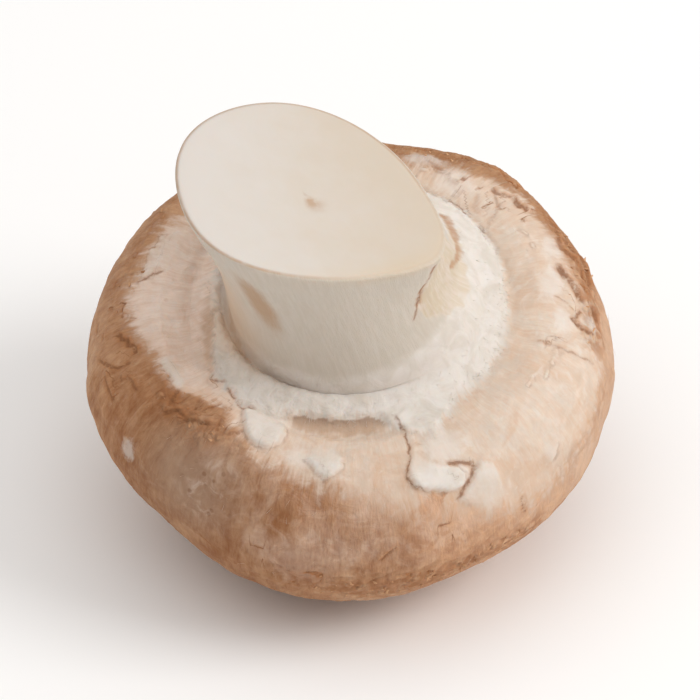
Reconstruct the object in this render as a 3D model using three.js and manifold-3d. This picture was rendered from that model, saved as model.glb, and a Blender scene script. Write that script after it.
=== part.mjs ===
// A picked brown button mushroom that stands on the crown of its cap, with its cut stem up.
// Millimetres and degrees, +Z up. The origin is the middle of the flat spot that it rests on.
// Cap, veil and stem grew as one piece, so the whole mushroom is one closed solid.
//
// The mushroom is drawn in its own frame first: its axis is Z, the crown of the cap is at
// zero height and the stem grows upwards. Angles run round that axis from +X towards +Y,
// so 270 is the front. It is then tipped forwards and set down on its flat spot.
import * as THREE from 'three';
import { mergeVertices, toCreasedNormals } from 'three/addons/utils/BufferGeometryUtils.js';
import Module from 'manifold-3d';

// The cap: a low dome, and a rolled shoulder that turns in to the rim.
const CAP_RADIUS = 24;
const CROWN_HEIGHT = 16.5;
const CROWN_SHIFT = 3;
const DOME_ROUNDNESS = 0.96;
const DOME_FALL = 1.05;
const SHOULDER_HEIGHT = 8.4;
const RIM_RADIUS = 17.2;
const RIM_HEIGHT = CROWN_HEIGHT + SHOULDER_HEIGHT;

// The closed veil between the rim and the stem: a ring that stands proud, a split in the
// skin outside it at the front, a valley on the left, and a groove at the foot of the stem.
// The groove fades out on the right, where the stem flares into the veil.
const VEIL_RADIUS = 12.9;
const VEIL_DROP = 0.5;
const SPLIT = { angle: 262, spread: 26, radius: 14.6, depth: 0.9 };
const VALLEY = { angle: 185, spread: 40, depth: 0.8 };
const GROOVE = { radius: 11.7, depth: 1.4 };
const FLARES = [
  { angle: 350, spread: 62, share: 1 },
  { angle: 60, spread: 40, share: 0.5 },
];
const FLARE_HEIGHT = 3.4;
const FLARE_RISE = { veil: 0.15, ring: 0.35, groove: 0.65 };

// The stem: a slight waist, a lean and a slanting knife cut.
const STEM_RADIUS = 11.2;
const STEM_WAIST = 0.8;
const STEM_LENGTH = 15.5;
const STEM_FOOT_Y = 1.7;
const STEM_LEAN = new THREE.Vector2(-4.3, -0.6);
const CUT_RADIUS = 11.3;
const CUT_SLOPE = new THREE.Vector2(0.32, 0.19);

// Where the stem is fuller or flatter than round: three broad ribs that stand out most at
// the cut, and the dent of a scar below the right one.
const STEM_SWELLS = [
  { angle: 90, spread: 32, height: 41, reach: 9, swell: 0.6 },
  { angle: 233, spread: 30, height: 41, reach: 9, swell: 1.4 },
  { angle: 341, spread: 26, height: 41, reach: 8, swell: 2.1 },
  { angle: 345, spread: 15, height: 32, reach: 4.5, swell: -0.7 },
];

// Where the cap is fuller or flatter than round: the angle and the height of each swell,
// how far it spreads round the cap and along it, and how far it stands out.
const CAP_SWELLS = [
  { angle: 259, spread: 31, height: 9, reach: 7, swell: 1.15 },
  { angle: 220, spread: 25, height: 11, reach: 8, swell: -1.05 },
  { angle: 195, spread: 30, height: 15, reach: 9, swell: 0.55 },
  { angle: 85, spread: 22, height: 28, reach: 8, swell: -1.2 },
  { angle: 54, spread: 20, height: 22, reach: 8, swell: 0.6 },
  { angle: 0, spread: 30, height: 14, reach: 9, swell: 0.2 },
  { angle: 344, spread: 32, height: 9, reach: 8, swell: 0.55 },
];

// How it lies: tipped towards the front, on a flat spot pressed into the crown.
const TIP_FORWARDS = 13;
const REST_POINT = new THREE.Vector3(0, -5.5, 0.17);
const SURFACE_BLOCK = 60;

// How finely it is faceted: meridians round the axis, and steps along each stretch of one.
const MERIDIANS = 64;
const STEPS = { dome: 13, shoulder: 10, veil: 14, stem: 9, cut: 4 };
const CREASE = 40;

const COLOUR = 0xd8b594;

// A bell shape, 1 at an angle and fading on both sides of it.
function near(angle, centre, spread) {
  const apart = THREE.MathUtils.euclideanModulo(angle - centre + 180, 360) - 180;
  return Math.exp(-((apart / spread) ** 2));
}

// How far a swell lifts the surface at an angle and a height.
function swellAt({ angle: centre, spread, height: middle, reach, swell }, angle, height) {
  return swell * near(angle, centre, spread) * Math.exp(-(((height - middle) / reach) ** 2));
}

// How far all the stem's swells lift it at an angle and a height.
function stemSwellAt(angle, height) {
  return STEM_SWELLS.reduce((sum, swell) => sum + swellAt(swell, angle, height), 0);
}

// Where the stem runs into the veil with no groove: 1 on the right, 0 at the front left.
function flareAt(angle) {
  const flares = FLARES.map(({ angle: centre, spread, share }) => share * near(angle, centre, spread));
  return Math.min(1, flares.reduce((sum, flare) => sum + flare));
}

// The meridian of the veil, from the rim in to the foot of the stem.
function veilCurve(angle) {
  const flare = flareAt(angle);
  const rise = FLARE_HEIGHT * flare;
  const groove = GROOVE.depth * (1 - flare);
  const split = SPLIT.depth * near(angle, SPLIT.angle, SPLIT.spread);
  const valley = VALLEY.depth * near(angle, VALLEY.angle, VALLEY.spread);
  const veil = RIM_HEIGHT - VEIL_DROP;
  return new THREE.SplineCurve([
    new THREE.Vector2(RIM_RADIUS, RIM_HEIGHT),
    new THREE.Vector2(SPLIT.radius + 1, RIM_HEIGHT - VEIL_DROP / 2 - valley / 2),
    new THREE.Vector2(SPLIT.radius, veil - split - valley),
    new THREE.Vector2(VEIL_RADIUS + 0.8, veil - split / 4 - valley + FLARE_RISE.veil * rise),
    new THREE.Vector2(VEIL_RADIUS - 0.3, veil - valley / 2 + FLARE_RISE.ring * rise),
    new THREE.Vector2(GROOVE.radius, RIM_HEIGHT - groove + FLARE_RISE.groove * rise),
    new THREE.Vector2(STEM_RADIUS, RIM_HEIGHT + rise),
  ]);
}

// The stretches of a meridian: each gives the radius and the height at a share of its way.
const STRETCHES = {
  dome(share) {
    const turn = (share * Math.PI) / 2;
    const radius = CAP_RADIUS * Math.sin(turn) ** DOME_ROUNDNESS;
    return new THREE.Vector2(radius, CROWN_HEIGHT * (1 - Math.cos(turn) ** DOME_FALL));
  },
  shoulder(share) {
    const turn = (share * Math.PI) / 2;
    const radius = RIM_RADIUS + (CAP_RADIUS - RIM_RADIUS) * Math.cos(turn);
    return new THREE.Vector2(radius, CROWN_HEIGHT + SHOULDER_HEIGHT * Math.sin(turn));
  },
  veil(share, angle) {
    return veilCurve(angle).getPoint(share);
  },
  stem(share, angle) {
    const foot = veilCurve(angle).getPoint(1);
    const height = THREE.MathUtils.lerp(foot.y, RIM_HEIGHT + STEM_LENGTH, share);
    const waist = STEM_WAIST * Math.sin(share * Math.PI);
    const radius = THREE.MathUtils.lerp(foot.x, CUT_RADIUS, share) - waist;
    return new THREE.Vector2(radius + stemSwellAt(angle, height), height);
  },
  cut(share, angle) {
    const height = RIM_HEIGHT + STEM_LENGTH;
    return new THREE.Vector2((CUT_RADIUS + stemSwellAt(angle, height)) * (1 - share), height);
  },
};

// One station for each point of a meridian, from the crown to the middle of the cut.
function meridianStations() {
  const stations = [];
  for (const [stretch, steps] of Object.entries(STEPS)) {
    for (let step = 0; step < steps; step += 1) {
      stations.push({ stretch, share: step / steps });
    }
  }
  stations.push({ stretch: 'cut', share: 1 });
  return stations;
}

// The point of the skin at a station and an angle, in the mushroom's own frame.
function skinPoint({ stretch, share }, angle) {
  const onCap = stretch === 'dome' || stretch === 'shoulder';
  const profile = STRETCHES[stretch](share, angle);
  const fullness = onCap
    ? Math.min(1, profile.x / (CAP_RADIUS / 2))
    : THREE.MathUtils.smoothstep(profile.x, VEIL_RADIUS, RIM_RADIUS);
  for (const swell of CAP_SWELLS) {
    profile.x += fullness * swellAt(swell, angle, profile.y);
  }
  const turn = THREE.MathUtils.degToRad(angle);
  const point = new THREE.Vector3(profile.x * Math.cos(turn), profile.x * Math.sin(turn), profile.y);
  if (stretch === 'dome') {
    point.y += CROWN_SHIFT * (1 - profile.y / CROWN_HEIGHT) ** 2;
  }
  if (!onCap) {
    const climb = Math.max(0, (profile.y - RIM_HEIGHT) / STEM_LENGTH);
    const inwards = 1 - THREE.MathUtils.smoothstep(profile.x, VEIL_RADIUS - 0.4, VEIL_RADIUS + 3.6);
    point.z -= climb * (CUT_SLOPE.x * point.x + CUT_SLOPE.y * point.y);
    point.x += climb * STEM_LEAN.x;
    point.y += climb * STEM_LEAN.y + inwards * STEM_FOOT_Y;
  }
  return point;
}

// The whole skin: a lathe turns the mean meridian, and each meridian is then redrawn
// with the shape that the mushroom has at its angle.
function skinGeometry() {
  const stations = meridianStations();
  const mean = stations.map(({ stretch, share }) => STRETCHES[stretch](share, 0));
  const skin = new THREE.LatheGeometry(mean, MERIDIANS);
  const place = skin.attributes.position;
  for (let meridian = 0; meridian <= MERIDIANS; meridian += 1) {
    const angle = (360 * (meridian % MERIDIANS)) / MERIDIANS;
    stations.forEach((station, row) => {
      const { x, y, z } = skinPoint(station, angle);
      place.setXYZ(meridian * stations.length + row, x, y, z);
    });
  }
  return skin;
}

// A closed geometry as a solid, with its shared points merged and its flat slivers dropped.
function toSolid(wasm, geometry) {
  geometry.deleteAttribute('normal');
  geometry.deleteAttribute('uv');
  const merged = mergeVertices(geometry);
  const corners = merged.index.array;
  const faces = [];
  for (let first = 0; first < corners.length; first += 3) {
    const face = [corners[first], corners[first + 1], corners[first + 2]];
    if (new Set(face).size === 3) {
      faces.push(...face);
    }
  }
  const vertProperties = new Float32Array(merged.attributes.position.array);
  return new wasm.Manifold(new wasm.Mesh({ numProp: 3, vertProperties, triVerts: new Uint32Array(faces) }));
}

// A solid as a geometry again.
function toGeometry(solid) {
  const mesh = solid.getMesh();
  const geometry = new THREE.BufferGeometry();
  geometry.setAttribute('position', new THREE.BufferAttribute(mesh.vertProperties, 3));
  geometry.setIndex(new THREE.BufferAttribute(mesh.triVerts, 1));
  return toCreasedNormals(geometry, THREE.MathUtils.degToRad(CREASE));
}

// The mushroom, tipped, set down at the origin and pressed flat where it rests.
function mushroomGeometry(wasm) {
  const skin = skinGeometry();
  skin.rotateX(THREE.MathUtils.degToRad(TIP_FORWARDS));
  skin.translate(-REST_POINT.x, -REST_POINT.y, -REST_POINT.z);
  const below = new THREE.BoxGeometry(SURFACE_BLOCK, SURFACE_BLOCK, SURFACE_BLOCK);
  below.translate(0, 0, -SURFACE_BLOCK / 2);
  return toGeometry(toSolid(wasm, skin).subtract(toSolid(wasm, below)));
}

const wasm = await Module();
wasm.setup();

const flesh = new THREE.MeshStandardMaterial({ color: COLOUR, roughness: 0.8, metalness: 0 });
const mushroom = new THREE.Mesh(mushroomGeometry(wasm), flesh);
mushroom.name = 'button_mushroom';

const part = new THREE.Group();
part.add(mushroom);

export default part;
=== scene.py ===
"""A brown button mushroom that stands on the crown of its cap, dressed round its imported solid.

It is drawn in its own frame first, in millimetres: its axis is Z, the crown of the cap is at
zero height and the stem grows upwards. It is then tipped forwards and set down at the origin.
A place on its surface is an angle round the axis, in degrees from +X towards +Y, and a reach:
the way along the surface from the foot of the stem, in millimetres, out over the veil and the
cap, and negative up the stem and over the cut.
"""
import math
import random

import bmesh
import bpy
import numpy as np
from bpy.props import FloatProperty, FloatVectorProperty, IntProperty, PointerProperty
from mathutils import Matrix, Vector, noise


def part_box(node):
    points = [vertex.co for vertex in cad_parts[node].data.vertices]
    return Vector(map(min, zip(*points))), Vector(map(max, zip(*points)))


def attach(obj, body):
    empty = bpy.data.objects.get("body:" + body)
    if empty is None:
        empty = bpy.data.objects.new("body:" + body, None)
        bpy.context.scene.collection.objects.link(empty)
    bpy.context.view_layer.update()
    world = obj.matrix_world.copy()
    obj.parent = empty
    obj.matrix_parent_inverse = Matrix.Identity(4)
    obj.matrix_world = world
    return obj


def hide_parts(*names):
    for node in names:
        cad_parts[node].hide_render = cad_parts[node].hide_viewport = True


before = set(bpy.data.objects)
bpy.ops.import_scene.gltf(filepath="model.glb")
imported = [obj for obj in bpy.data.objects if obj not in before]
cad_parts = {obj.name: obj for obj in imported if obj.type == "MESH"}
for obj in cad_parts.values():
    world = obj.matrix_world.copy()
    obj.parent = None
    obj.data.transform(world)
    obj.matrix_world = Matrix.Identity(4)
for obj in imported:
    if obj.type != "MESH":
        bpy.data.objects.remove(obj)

bl_info = {
    "name": "Brown button mushroom",
    "version": (1, 0, 0),
    "blender": (4, 5, 0),
    "location": "3D View > Sidebar > Mushroom",
    "description": "Builds a whole button mushroom with its torn veil, flaky skin and cut stem",
    "category": "Add Mesh",
}

MM = 0.001
NODE = "button_mushroom"
BODY = "mushroom_body"

# Farther than any place on the mushroom is from another, in millimetres.
FAR = 1000.0

# How many loose fibres there are, and how thick they and the flakes are, in millimetres.
# A flake's root is sunk into the skin.
VEIL_FIBRES = 700
VEIL_FIBRE_THICK = 0.045
SKIN_FIBRES = 170
SKIN_FIBRE_THICK = 0.035
FLAKE_THICK = 0.09
FLAKE_ROOT = 0.08

# The stage, in metres: half the floor's side, how far behind the origin the camera and the
# lights aim, at what share of the solid's height, and the side and place of each square light.
FLOOR_HALF = 2.0
AIM_BEHIND = 0.0018
AIM_SHARE = 0.4
TOP_LIGHT = {"size": 1.4, "place": (-0.1, 0.0, 0.85)}
KEY_LIGHT = {"size": 0.4, "place": (0.62, -0.1, 0.5)}

# The solid's shape, in millimetres and degrees, as the part's source gives it.
CROWN_SHIFT = 3.0
DOME_ROUNDNESS = 0.96
DOME_FALL = 1.05
VEIL_RADIUS = 12.9
VEIL_DROP = 0.5
SPLIT = {"angle": 262, "spread": 26, "radius": 14.6, "depth": 0.9}
VALLEY = {"angle": 185, "spread": 40, "depth": 0.8}
GROOVE = {"radius": 11.7, "depth": 1.4}
FLARES = [
    {"angle": 350, "spread": 62, "share": 1.0},
    {"angle": 60, "spread": 40, "share": 0.5},
]
FLARE_HEIGHT = 3.4
FLARE_RISE = {"veil": 0.15, "ring": 0.35, "groove": 0.65}
STEM_WAIST = 0.8
STEM_FOOT_Y = 1.7
STEM_LEAN = (-4.3, -0.6)
CUT_SLOPE = (0.32, 0.19)
STEM_SWELLS = [
    {"angle": 90, "spread": 32, "height": 41, "reach": 9, "swell": 0.6},
    {"angle": 233, "spread": 30, "height": 41, "reach": 9, "swell": 1.4},
    {"angle": 341, "spread": 26, "height": 41, "reach": 8, "swell": 2.1},
    {"angle": 345, "spread": 15, "height": 32, "reach": 4.5, "swell": -0.7},
]
CAP_SWELLS = [
    {"angle": 259, "spread": 31, "height": 9, "reach": 7, "swell": 1.15},
    {"angle": 220, "spread": 25, "height": 11, "reach": 8, "swell": -1.05},
    {"angle": 195, "spread": 30, "height": 15, "reach": 9, "swell": 0.55},
    {"angle": 85, "spread": 22, "height": 28, "reach": 8, "swell": -1.2},
    {"angle": 54, "spread": 20, "height": 22, "reach": 8, "swell": 0.6},
    {"angle": 0, "spread": 30, "height": 14, "reach": 9, "swell": 0.2},
    {"angle": 344, "spread": 32, "height": 9, "reach": 8, "swell": 0.55},
]
REST_POINT = Vector((0.0, -5.5, 0.17))

# How finely the body is drawn: meridians round the axis, and steps along each stretch of one.
MERIDIANS = 360
STEPS = {"dome": 84, "shoulder": 60, "veil": 44, "stem": 52, "cut": 18}
FOOT = STEPS["dome"] + STEPS["shoulder"] + STEPS["veil"]
EDGE = FOOT + STEPS["stem"]

# The steps that are smoothed before and after the cut's edge and the foot of the stem, and
# how many rounds of smoothing each gets.
CUT_EDGE_ROWS = (-1, 1)
CUT_EDGE_ROUNDS = 3
FOOT_ROWS = (-11, 7)
FOOT_ROUNDS = 34

# By angle: the reach at which the brown skin starts and how crisp that edge is, the reach at
# which the white veil ends, and how brown and how scuffed the skin is.
BROWN_EDGE = [
    (0, 11.6), (4, 11.2), (9, 10.0), (17, 9.8), (23, 9.3), (28, 9.0), (35, 9.2), (41, 9.2),
    (47, 8.6), (53, 8.0), (59, 7.3), (65, 6.6), (73, 6.8), (90, 6.8),
    (144, 7.8), (165, 9.0), (176, 9.5), (183, 8.9), (191, 7.9), (201, 7.2), (211, 7.1),
    (215, 6.3), (219, 5.8), (225, 5.5), (229, 5.9), (234, 6.5), (241, 7.3), (245, 7.8), (253, 7.8),
    (262, 8.6), (270, 9.3), (282, 10.9), (291, 11.8), (300, 13.6), (312, 15.6), (324, 15.8),
    (338, 15.0), (345, 14.3), (352, 13.3),
]
CRISPNESS = [
    (0, 1.3), (60, 1.0), (150, 1.0), (195, 1.5), (210, 2.6), (232, 2.4), (250, 1.1), (300, 0.9),
]
VEIL_EDGE = [
    (0, 3.6), (9, 3.6), (30, 4.2), (48, 4.7), (60, 4.0), (90, 3.0), (140, 2.4), (173, 2.0),
    (192, 2.1), (201, 2.6), (208, 3.2), (214, 3.9), (222, 4.1), (230, 4.3), (238, 4.0), (245, 3.4),
    (251, 3.2), (259, 3.1), (267, 3.0), (281, 3.15), (286, 3.9), (291, 5.0), (298, 5.4), (305, 4.6),
    (312, 4.0), (323, 4.1), (338, 4.1), (351, 3.7),
]
BROWNNESS = [
    (0, 0.6), (25, 0.9), (60, 1.0), (150, 0.9), (180, 0.9), (200, 1.0), (235, 1.0), (262, 0.95),
    (285, 0.74), (305, 0.66), (335, 0.45),
]
SCUFFED = [
    (0, 0.25), (30, 0.1), (90, 0.1), (150, 0.2), (180, 0.25), (215, 0.15), (245, 0.5), (300, 0.75),
    (335, 0.5),
]
# How light the brown skin is painted round the cap: painted shade at the back and low on the left, painted
# light low at the front on the right.
PAINTED_SKIN_SHADE = [
    (0, 1.0), (30, 0.86), (60, 0.78), (90, 0.85), (180, 0.97), (205, 0.95), (220, 0.81), (235, 0.86),
    (250, 0.86), (262, 0.92), (278, 0.95), (290, 1.15), (305, 1.2), (330, 1.08),
]

# Cracks in the skin: the places they run through, how dark they are and half their width. A
# lip is how far the skin lifts on the right of a crack, for one who walks along it with the
# angle growing to the right and the reach growing forwards.
CRACKS = [
    {"path": [(287.3, 3.5), (288.5, 4.7), (288.8, 5.5), (287.7, 6.2), (287.4, 6.8), (285.9, 7.5),
              (284.9, 8.4), (285.3, 8.9), (286.4, 9.5), (287.8, 9.9)],
     "dark": 0.75, "half": 0.11, "lip": 0.15},
    {"path": [(297.2, 8.4), (299.9, 8.7), (301.7, 9.1), (302.6, 9.6)], "dark": 0.9, "half": 0.2},
    {"path": [(302.7, 9.3), (301.6, 10.1), (300.0, 10.5), (298.0, 11.0), (296.3, 11.5)],
     "dark": 0.85, "half": 0.16},
    {"path": [(276.7, 16.1), (278.3, 15.4), (280.3, 14.7)], "dark": 1.0, "half": 0.25, "lip": 0.25},
    {"path": [(311.2, 15.1), (311.2, 16.6)], "dark": 0.9, "half": 0.28},
    {"path": [(306.0, 20.0), (310.6, 20.5), (316.0, 19.9)], "dark": 0.6, "half": 0.15},
    {"path": [(24.8, 10.2), (21.0, 9.9), (19.1, 10.6), (17.9, 11.4)],
     "dark": 0.7, "half": 0.3, "lip": 0.25},
    {"path": [(14.4, 8.6), (11.2, 8.9), (8.8, 9.7), (7.0, 10.1), (5.2, 10.5)],
     "dark": 1.0, "half": 0.38, "lip": 0.35},
    {"path": [(21.4, 12.5), (17.2, 12.7), (13.3, 12.5)], "dark": 0.7, "half": 0.35, "lip": 0.3},
    {"path": [(1.2, 10.3), (358.0, 9.3), (356.9, 9.8), (355.9, 10.7), (356.5, 11.7)],
     "dark": 0.9, "half": 0.2, "lip": 0.2},
    {"path": [(4.4, 11.9), (1.8, 12.6)], "dark": 0.8, "half": 0.28, "lip": 0.2},
    {"path": [(3.8, 7.7), (2.5, 8.8), (0.4, 9.6)], "dark": 0.45, "half": 0.12},
    {"path": [(346.5, 6.5), (347.0, 9.0), (348.0, 10.9), (349.3, 12.4)],
     "dark": 0.45, "half": 0.12, "lip": 0.1},
    {"path": [(0.5, 13.1), (356.9, 13.9)], "dark": 0.7, "half": 0.2},
    {"path": [(47.6, 6.0), (46.1, 5.35), (43.1, 5.2)], "dark": 0.25, "half": 0.25},
    {"path": [(43.6, 7.1), (40.7, 6.6), (38.5, 5.6)], "dark": 0.4, "half": 0.22, "lip": 0.1},
    {"path": [(37.7, 5.3), (33.0, 4.4), (28.4, 3.6)], "dark": 0.25, "half": 0.22},
    {"path": [(66.4, 7.4), (62.1, 6.8)], "dark": 0.35, "half": 0.22},
    {"path": [(189.4, 12.9), (192.5, 11.9), (195.2, 11.0), (195.8, 9.8)], "dark": 0.9, "half": 0.2},
    {"path": [(170.3, 8.5), (169.6, 7.5), (167.0, 6.6)], "dark": 0.6, "half": 0.1, "lip": 0.15},
    {"path": [(213.3, 8.1), (211.9, 7.1)], "dark": 0.9, "half": 0.3},
    {"path": [(215.0, 9.1), (216.6, 8.2), (219.8, 8.2)], "dark": 0.9, "half": 0.26, "lip": 0.35},
    {"path": [(219.8, 8.9), (221.5, 8.0), (223.8, 7.7), (227.0, 7.3)],
     "dark": 0.7, "half": 0.22, "lip": 0.35},
    {"path": [(222.5, 6.4), (223.3, 5.4)], "dark": 0.9, "half": 0.2},
    {"path": [(220.3, 7.0), (218.8, 6.2)], "dark": 0.7, "half": 0.26},
    {"path": [(229.6, 7.2), (228.5, 6.1)], "dark": 0.8, "half": 0.2},
    {"path": [(233.5, 7.0), (235.9, 6.2)], "dark": 0.7, "half": 0.26, "lip": 0.15},
    {"path": [(213.4, 4.4), (217.3, 3.9)], "dark": 0.8, "half": 0.14},
    {"path": [(221.5, 4.1), (226.5, 4.4), (230.3, 4.6), (233.2, 4.3)], "dark": 0.7, "half": 0.1},
    {"path": [(236.0, 17.8), (240.0, 18.6)], "dark": 0.6, "half": 0.12},
    {"path": [(334.8, -13.4), (332.6, -11.6), (331.2, -10.2)], "dark": 0.9, "half": 0.24},
    {"path": [(328.0, -9.4), (325.3, -8.8), (324.2, -8.2)], "dark": 1.0, "half": 0.22},
    {"path": [(322.8, -7.7), (320.6, -6.3)], "dark": 1.0, "half": 0.24},
    {"path": [(319.0, -5.9), (315.0, -4.8)], "dark": 0.6, "half": 0.14},
    {"path": [(110.0, 13.0), (114.0, 14.2), (113.0, 15.8)], "dark": 0.8, "half": 0.14},
    {"path": [(68.0, 15.5), (72.0, 16.4), (71.0, 18.0)], "dark": 0.8, "half": 0.14},
    {"path": [(140.0, 20.0), (146.0, 21.2), (148.0, 23.0)], "dark": 0.8, "half": 0.14},
    {"path": [(20.0, 24.0), (27.0, 24.8), (31.0, 26.4)], "dark": 0.8, "half": 0.14},
    {"path": [(255.0, 27.0), (262.0, 27.6), (266.0, 29.0)], "dark": 0.7, "half": 0.14},
    {"path": [(95.0, 30.0), (104.0, 31.2), (110.0, 33.4)], "dark": 0.8, "half": 0.14},
    {"path": [(330.0, 31.0), (339.0, 31.6), (345.0, 33.0)], "dark": 0.7, "half": 0.14},
]

# Raised white pieces of veil and skin: their outlines, how far they stand out and how white
# they are. They grow out of the skin on the side of the stem and end in an edge on the other,
# with a painted shadow along that edge, but for one that grows out of the other side and has no
# painted shadow along its edge.
PATCHES = [
    {"outline": [(231.0, 3.4), (231.3, 4.9), (234.7, 5.6), (238.6, 6.3), (242.2, 6.7), (245.6, 6.5),
                 (247.8, 5.9), (248.3, 5.2), (246.8, 4.0), (245.0, 3.0)], "rise": 0.42, "white": 0.9},
    {"outline": [(257.2, 6.4), (258.1, 5.6), (261.0, 5.2), (265.3, 5.3), (268.3, 6.0), (267.6, 7.0),
                 (265.6, 7.8), (263.5, 8.2), (260.0, 7.3)], "rise": 0.28, "white": 0.9},
    {"outline": [(288.0, 6.6), (289.6, 6.6), (292.2, 7.6), (295.9, 8.4), (298.6, 9.1), (299.6, 9.8),
                 (299.0, 10.5), (296.6, 10.9), (293.6, 10.6), (290.6, 10.2), (287.8, 9.8), (286.2, 9.2),
                 (285.6, 8.4), (286.4, 7.4)], "rise": 0.42, "white": 0.95},
    {"outline": [(303.2, 9.7), (305.0, 9.3), (306.7, 9.6), (307.5, 10.4), (307.9, 11.5), (307.6, 13.0),
                 (306.0, 14.0), (303.2, 14.0), (300.2, 13.3), (297.2, 12.3), (296.6, 11.6), (298.6, 11.0),
                 (301.0, 10.4)], "rise": 0.5, "white": 0.6, "root": "outer", "edge_shadowed": False},
    {"outline": [(320.4, 12.2), (323.6, 11.8), (324.9, 13.1), (323.0, 14.0), (321.2, 13.7)],
     "rise": 0.25, "white": 0.4, "ragged": 2.0},
    {"outline": [(200.0, 6.9), (199.8, 6.2), (201.9, 5.8), (205.4, 5.6), (209.5, 5.8), (211.1, 6.5),
                 (209.7, 6.8), (207.1, 7.0), (203.5, 7.0)], "rise": 0.22, "white": 0.6, "ragged": 2.5},
    {"outline": [(150.0, 6.4), (156.0, 5.9), (164.0, 6.0), (169.0, 7.2), (170.3, 8.5), (164.0, 8.3),
                 (155.0, 8.0)], "rise": 0.2, "white": 0.35, "ragged": 3.0},
]

# Marks that are only colour or shallow relief. A spot has its middle, half width, half length
# and turn. The scar is an outline with a dark path in it, the rim and the crease go by angle,
# and the slit runs from one angle to another.
SMUDGE = {"angle": 240.0, "reach": -8.6, "wide": 1.7, "long": 3.9, "turn": 0}
SCAR = [
    (345, -15.4), (338, -14.4), (333, -10.6), (326, -8.6), (318, -6.5), (317, -4.0), (328, -1.4),
    (337, 0.3), (347, 0.8), (357, 0.8), (9, 0.8), (17, 0.9), (25, 1.1), (33, 1.5), (41, 1.9),
    (36, 0.6), (28, -0.4), (20, -2.0), (15, -6.0), (8, -15.6),
]
SCAR_DARK = [(41, 1.5), (31, 0.8), (24, 0.5), (17, 0.2), (11, -0.4), (5, -1.2), (0, -2.4)]
RIM = [
    (0, 0.3), (30, 0.8), (60, 0.9), (90, 0.8), (130, 0.8), (170, 0.9), (200, 1.0), (230, 1.0),
    (250, 0.9), (265, 0.7), (280, 0.4), (300, 0.15), (330, 0.1),
]
PITH = {"angle": 300, "reach": -25.3, "wide": 1.3, "long": 0.9, "turn": 0}
BRUISE = {"angle": 231.0, "reach": 12.4, "wide": 4.6, "long": 4.4, "turn": 0}
BRUISE_MIDDLE = {"angle": 235.5, "reach": 12.6, "wide": 2.6, "long": 3.0, "turn": 0}
BROWN_SPOTS = [
    {"angle": 291.3, "reach": 11.2, "wide": 1.6, "long": 0.8, "turn": 0},
    {"angle": 272.0, "reach": 14.0, "wide": 1.9, "long": 1.7, "turn": 0},
]
FILM = {"angle": 259.5, "reach": 16.3, "wide": 4.6, "long": 2.8, "turn": 0}
SLIT = {"from": 247, "to": 288, "outer": 4.1}
CREASE = [(170, 2.5), (185, 2.6), (194, 2.8), (202, 3.3), (210, 3.7)]
PALE_SPOTS = [
    {"angle": 211.3, "reach": 15.0, "wide": 0.9, "long": 1.3, "turn": 20},
    {"angle": 21.0, "reach": 8.7, "wide": 1.8, "long": 1.1, "turn": 20},
    {"angle": 8.5, "reach": 7.6, "wide": 2.2, "long": 1.3, "turn": 25},
    {"angle": 357.0, "reach": 8.4, "wide": 1.8, "long": 1.0, "turn": 0},
    {"angle": 359.0, "reach": 11.6, "wide": 1.0, "long": 0.8, "turn": 0},
    {"angle": 56.0, "reach": 6.2, "wide": 1.8, "long": 1.3, "turn": 0},
    {"angle": 68.0, "reach": 7.7, "wide": 2.0, "long": 0.9, "turn": 0},
    {"angle": 298.0, "reach": 6.6, "wide": 2.4, "long": 1.6, "turn": 0},
    {"angle": 299.0, "reach": 9.8, "wide": 0.8, "long": 1.4, "turn": 0},
    {"angle": 255.0, "reach": 6.6, "wide": 1.6, "long": 1.0, "turn": 0},
]

# Bands where the skin peels: where they lie, how much of it has gone and how shaggy it is.
PEELS = [
    {"from": 350, "to": 64, "inner": 9.4, "outer": 13.0, "share": 0.5, "shaggy": 0.4},
    {"from": 316, "to": 354, "inner": 13.0, "outer": 16.0, "share": 0.4, "shaggy": 0.3},
    {"from": 201, "to": 240, "inner": 5.6, "outer": 8.4, "share": 0.3, "shaggy": 0.35},
    {"from": 250, "to": 308, "inner": 16.6, "outer": 20.8, "share": 0.4, "shaggy": 0.5},
    {"from": 60, "to": 172, "inner": 7.0, "outer": 10.8, "share": 0.4, "shaggy": 0.2},
    {"from": -1, "to": 361, "inner": 24.0, "outer": 46.0, "share": 0.35, "shaggy": 0.15},
]

# Bands of small scales, with light tips and dark gaps between them.
SCALES = [
    {"from": 264, "to": 318, "inner": 18.2, "outer": 22.5, "share": 1.0},
    {"from": 351, "to": 32, "inner": 10.2, "outer": 13.6, "share": 1.0},
    {"from": 206, "to": 234, "inner": 6.9, "outer": 9.0, "share": 0.9},
    {"from": 320, "to": 350, "inner": 14.6, "outer": 17.0, "share": 0.5},
    {"from": 60, "to": 170, "inner": 9.0, "outer": 12.0, "share": 0.5},
]

# Bands of small curled flakes: where they lie, how many, how large and how far they curl.
FLAKE_BANDS = [
    {"from": 352, "to": 40, "inner": 10.6, "outer": 13.0, "count": 12, "size": 0.6, "curl": 0.6},
    {"from": 205, "to": 232, "inner": 6.6, "outer": 8.6, "count": 8, "size": 0.6, "curl": 0.6},
    {"from": 262, "to": 312, "inner": 17.8, "outer": 21.2, "count": 40, "size": 0.45, "curl": 0.8},
    {"from": 60, "to": 180, "inner": 7.6, "outer": 10.8, "count": 20, "size": 0.6, "curl": 0.6},
]


def srgb(red, green, blue):
    """A colour from 0 to 255 as linear light."""
    shares = (red / 255, green / 255, blue / 255)
    return tuple(s / 12.92 if s <= 0.04045 else ((s + 0.055) / 1.055) ** 2.4 for s in shares)


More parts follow.
